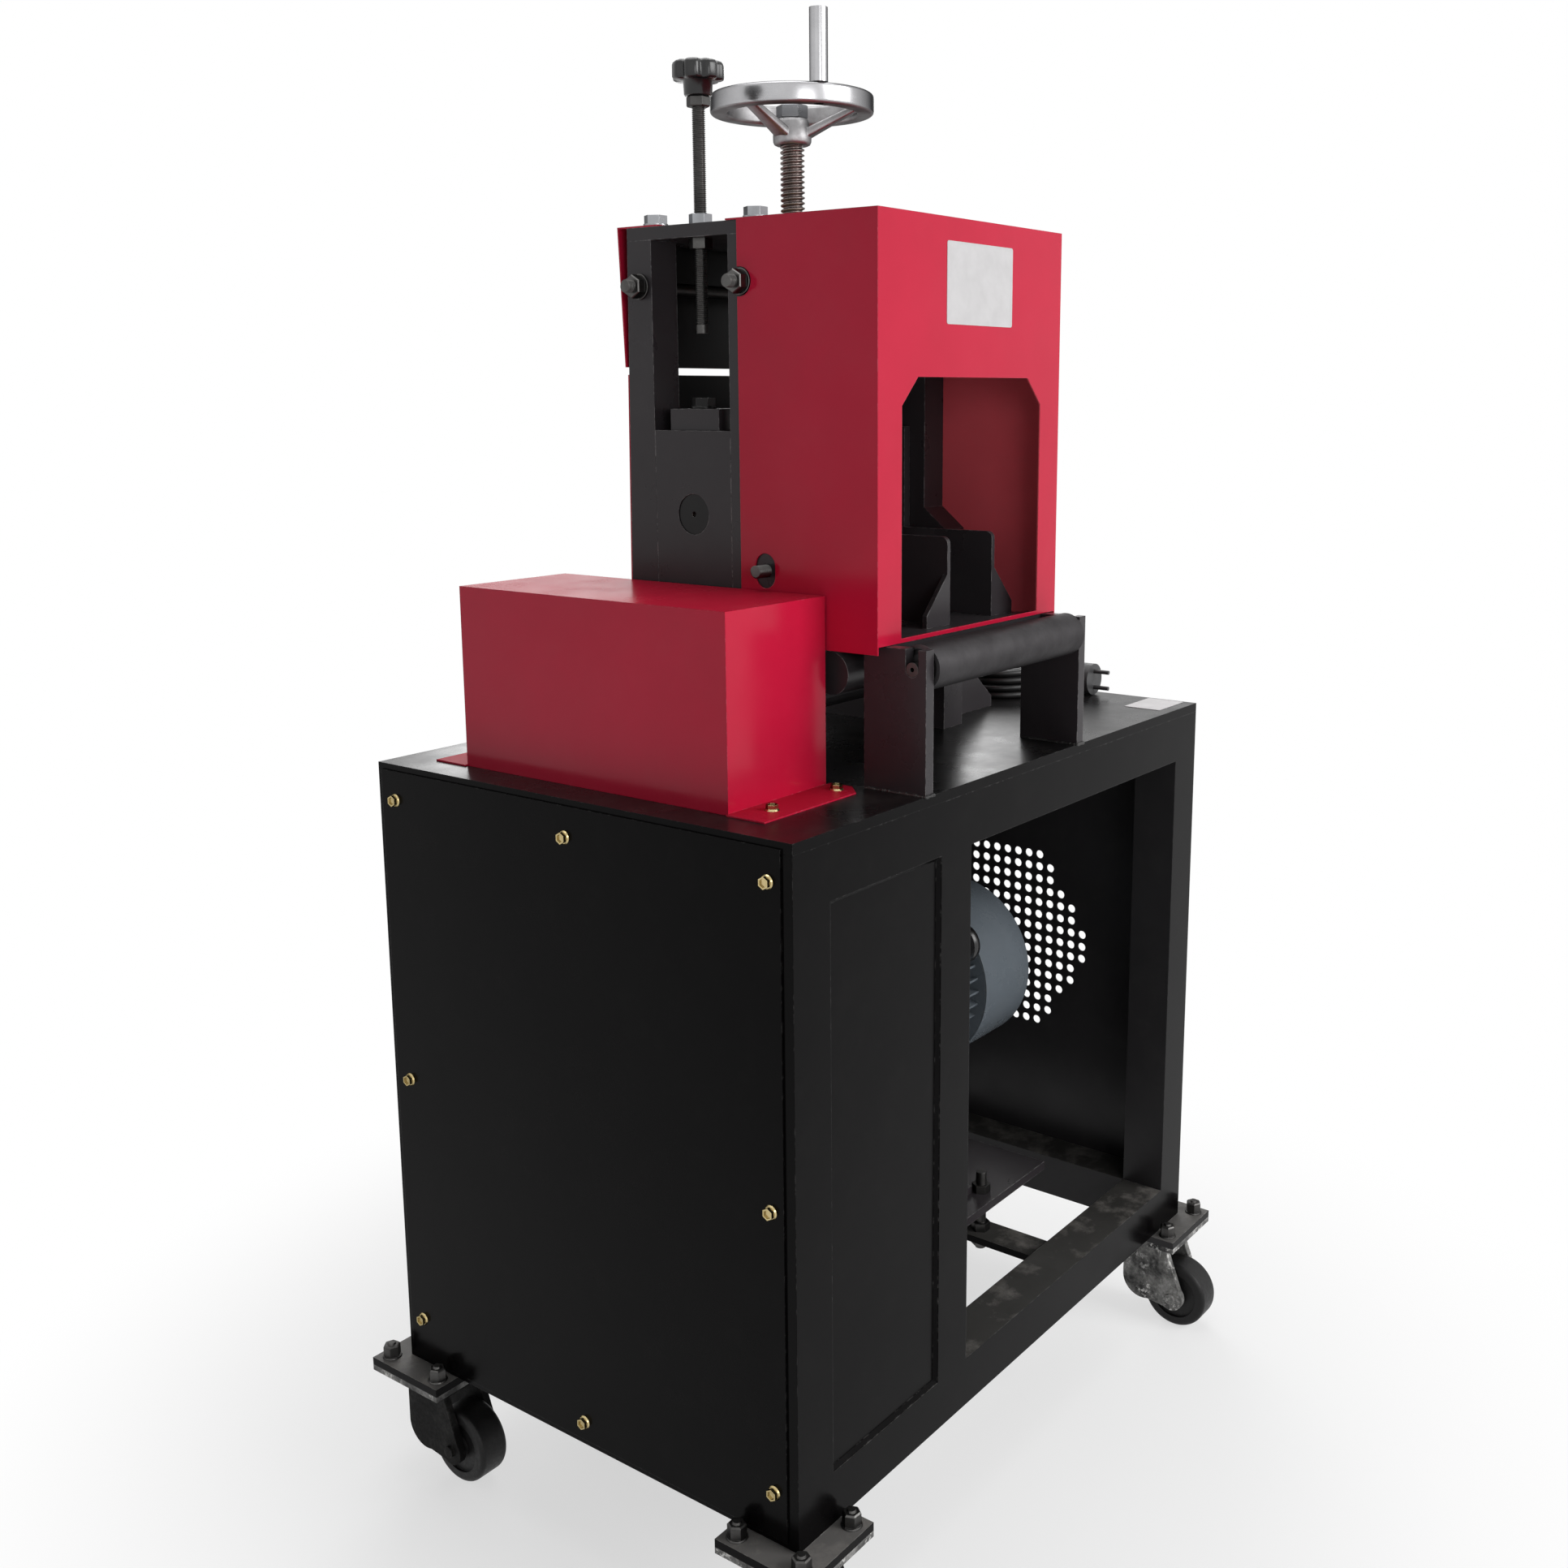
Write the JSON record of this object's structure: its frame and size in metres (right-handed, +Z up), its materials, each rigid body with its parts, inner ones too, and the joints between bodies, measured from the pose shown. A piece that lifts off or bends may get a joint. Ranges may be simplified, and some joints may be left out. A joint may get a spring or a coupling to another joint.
{
  "type": "wire stripping machine",
  "caption": "Floor-standing wire stripping machine: black cabinet on swivel casters, red hood over a screw-down cutting blade and driven feed roller, belt guard and handwheel.",
  "frame": {"origin": "on the floor under the middle of the machine's box", "axes": "+Z up, feed side toward -Y, closed side panel and belt guard toward -X"},
  "size_m": [0.806, 0.598, 1.4638],
  "materials": {
    "black_paint": "satin enamel, worn",
    "red_paint": "satin enamel",
    "zinc": "yellow zinc plating",
    "dark_steel": "blackened steel",
    "grey_iron": "painted casting",
    "motor_grey": "grey enamel",
    "black_plastic": "moulded",
    "rubber_black": "smooth",
    "bronze": "turned",
    "bright_steel": "ground",
    "roller_steel": "machined, oiled",
    "chrome": "polished",
    "caster_iron": "black casting, chipped",
    "cord_grey": "moulded"
  },
  "bodies": {
    "cabinet": {"cabinet_frame": "black_paint", "table_plate": "black_paint", "left_panel": "black_paint", "right_panel": "black_paint", "back_panel": "black_paint", "front_panel": "black_paint", "motor_plate": "black_paint", "motor_stool": "black_paint", "stand_left": "black_paint", "stand_right": "black_paint", "top_plate": "black_paint", "infeed_bed": "black_paint", "guide_left": "black_paint", "guide_right": "black_paint", "roller_brackets": "black_paint", "caster_plates": "black_paint", "belt_guard": "red_paint", "hood": "red_paint", "rear_covers": "red_paint", "zinc_screws": "zinc", "hex_bolts": "dark_steel", "plate_rods": "dark_steel", "tie_rods": "dark_steel", "idler_axle": "dark_steel", "reducer": "grey_iron", "drum_bearings": "grey_iron", "motor": "motor_grey", "fan_cowl": "motor_grey", "capacitor": "black_plastic", "cord_gland": "black_plastic", "belts": "rubber_black", "cord_lead": "rubber_black", "cord_coil": "rubber_black", "screw_nut": "bronze", "stop_nuts": "bright_steel", "plug": "cord_grey"},
    "carriage": {"slide_blocks": "black_paint", "crosshead": "black_paint", "crosshead_bolts": "dark_steel"},
    "screw": {"lead_screw": "dark_steel", "handwheel": "chrome"},
    "handle": {"wheel_handle": "chrome"},
    "cutter": {"blade_shaft": "dark_steel", "blade": "bright_steel"},
    "stop_tip": {"stop_foot": "dark_steel"},
    "stop": {"stop_rod": "dark_steel", "star_knob": "black_plastic"},
    "feed_roller": {"drum": "roller_steel", "driven_pulley": "grey_iron"},
    "output_pulley": {"drive_pulley": "grey_iron"},
    "fan": {"motor_fan": "black_plastic"},
    "idler": {"idler_roller": "roller_steel"},
    "swivel_front_left": {"fork_front_left": "caster_iron"},
    "caster_front_left": {"wheel_front_left": "caster_iron"},
    "swivel_front_right": {"fork_front_right": "caster_iron"},
    "caster_front_right": {"wheel_front_right": "caster_iron"},
    "swivel_back_left": {"fork_back_left": "caster_iron"},
    "caster_back_left": {"wheel_back_left": "caster_iron"},
    "swivel_back_right": {"fork_back_right": "caster_iron"},
    "caster_back_right": {"wheel_back_right": "caster_iron"}
  },
  "joints": [
    {"name": "screw_turn", "type": "hinge", "parent": "carriage", "child": "screw", "pos_m": [-0.041, 0.0135, 1.3], "axis": [0, 0, 1], "range_deg": [-3250, 2890]},
    {"name": "carriage_slide", "type": "slide", "parent": "cabinet", "child": "carriage", "axis": [0, 0, 1], "range_m": [-0.045, 0.04]},
    {"name": "handle_spin", "type": "hinge", "parent": "screw", "child": "handle", "pos_m": [-0.07783, -0.04779, 1.42], "axis": [0, 0, 1], "continuous": true},
    {"name": "cutter_spin", "type": "hinge", "parent": "carriage", "child": "cutter", "pos_m": [-0.041, 0.0135, 1], "axis": [1, 0, 0], "continuous": true},
    {"name": "stop_turn", "type": "hinge", "parent": "stop_tip", "child": "stop", "pos_m": [-0.1785, 0.0135, 1.3], "axis": [0, 0, 1], "range_deg": [-3080, 8220]},
    {"name": "stop_slide", "type": "slide", "parent": "cabinet", "child": "stop_tip", "axis": [0, 0, 1], "range_m": [-0.0149, 0.0399]},
    {"name": "feed_roller_spin", "type": "hinge", "parent": "cabinet", "child": "feed_roller", "pos_m": [-0.041, 0.0135, 0.838], "axis": [1, 0, 0], "continuous": true},
    {"name": "output_spin", "type": "hinge", "parent": "cabinet", "child": "output_pulley", "pos_m": [-0.26, 0.0055, 0.302], "axis": [1, 0, 0], "continuous": true},
    {"name": "fan_spin", "type": "hinge", "parent": "cabinet", "child": "fan", "pos_m": [0.2, 0.0055, 0.437], "axis": [1, 0, 0], "continuous": true},
    {"name": "idler_spin", "type": "hinge", "parent": "cabinet", "child": "idler", "pos_m": [-0.041, -0.229, 0.873], "axis": [1, 0, 0], "continuous": true},
    {"name": "swivel_front_left", "type": "hinge", "parent": "cabinet", "child": "swivel_front_left", "pos_m": [-0.353, -0.222, 0.1], "axis": [0, 0, 1], "continuous": true},
    {"name": "roll_front_left", "type": "hinge", "parent": "swivel_front_left", "child": "caster_front_left", "pos_m": [-0.353, -0.26, 0.039], "axis": [1, 0, 0], "continuous": true},
    {"name": "swivel_front_right", "type": "hinge", "parent": "cabinet", "child": "swivel_front_right", "pos_m": [0.353, -0.222, 0.1], "axis": [0, 0, 1], "continuous": true},
    {"name": "roll_front_right", "type": "hinge", "parent": "swivel_front_right", "child": "caster_front_right", "pos_m": [0.353, -0.26, 0.039], "axis": [1, 0, 0], "continuous": true},
    {"name": "swivel_back_left", "type": "hinge", "parent": "cabinet", "child": "swivel_back_left", "pos_m": [-0.353, 0.249, 0.1], "axis": [0, 0, 1], "continuous": true},
    {"name": "roll_back_left", "type": "hinge", "parent": "swivel_back_left", "child": "caster_back_left", "pos_m": [-0.353, 0.211, 0.039], "axis": [1, 0, 0], "continuous": true},
    {"name": "swivel_back_right", "type": "hinge", "parent": "cabinet", "child": "swivel_back_right", "pos_m": [0.353, 0.249, 0.1], "axis": [0, 0, 1], "continuous": true},
    {"name": "roll_back_right", "type": "hinge", "parent": "swivel_back_right", "child": "caster_back_right", "pos_m": [0.353, 0.211, 0.039], "axis": [1, 0, 0], "continuous": true}
  ],
  "couplings": [
    {"joint": "screw_turn", "follows": "carriage_slide", "rad_per_m": 1256.6},
    {"joint": "stop_turn", "follows": "stop_slide", "rad_per_m": 3590.4},
    {"joint": "output_spin", "follows": "feed_roller_spin", "ratio": 1.5556},
    {"joint": "fan_spin", "follows": "feed_roller_spin", "ratio": 26.444}
  ]
}
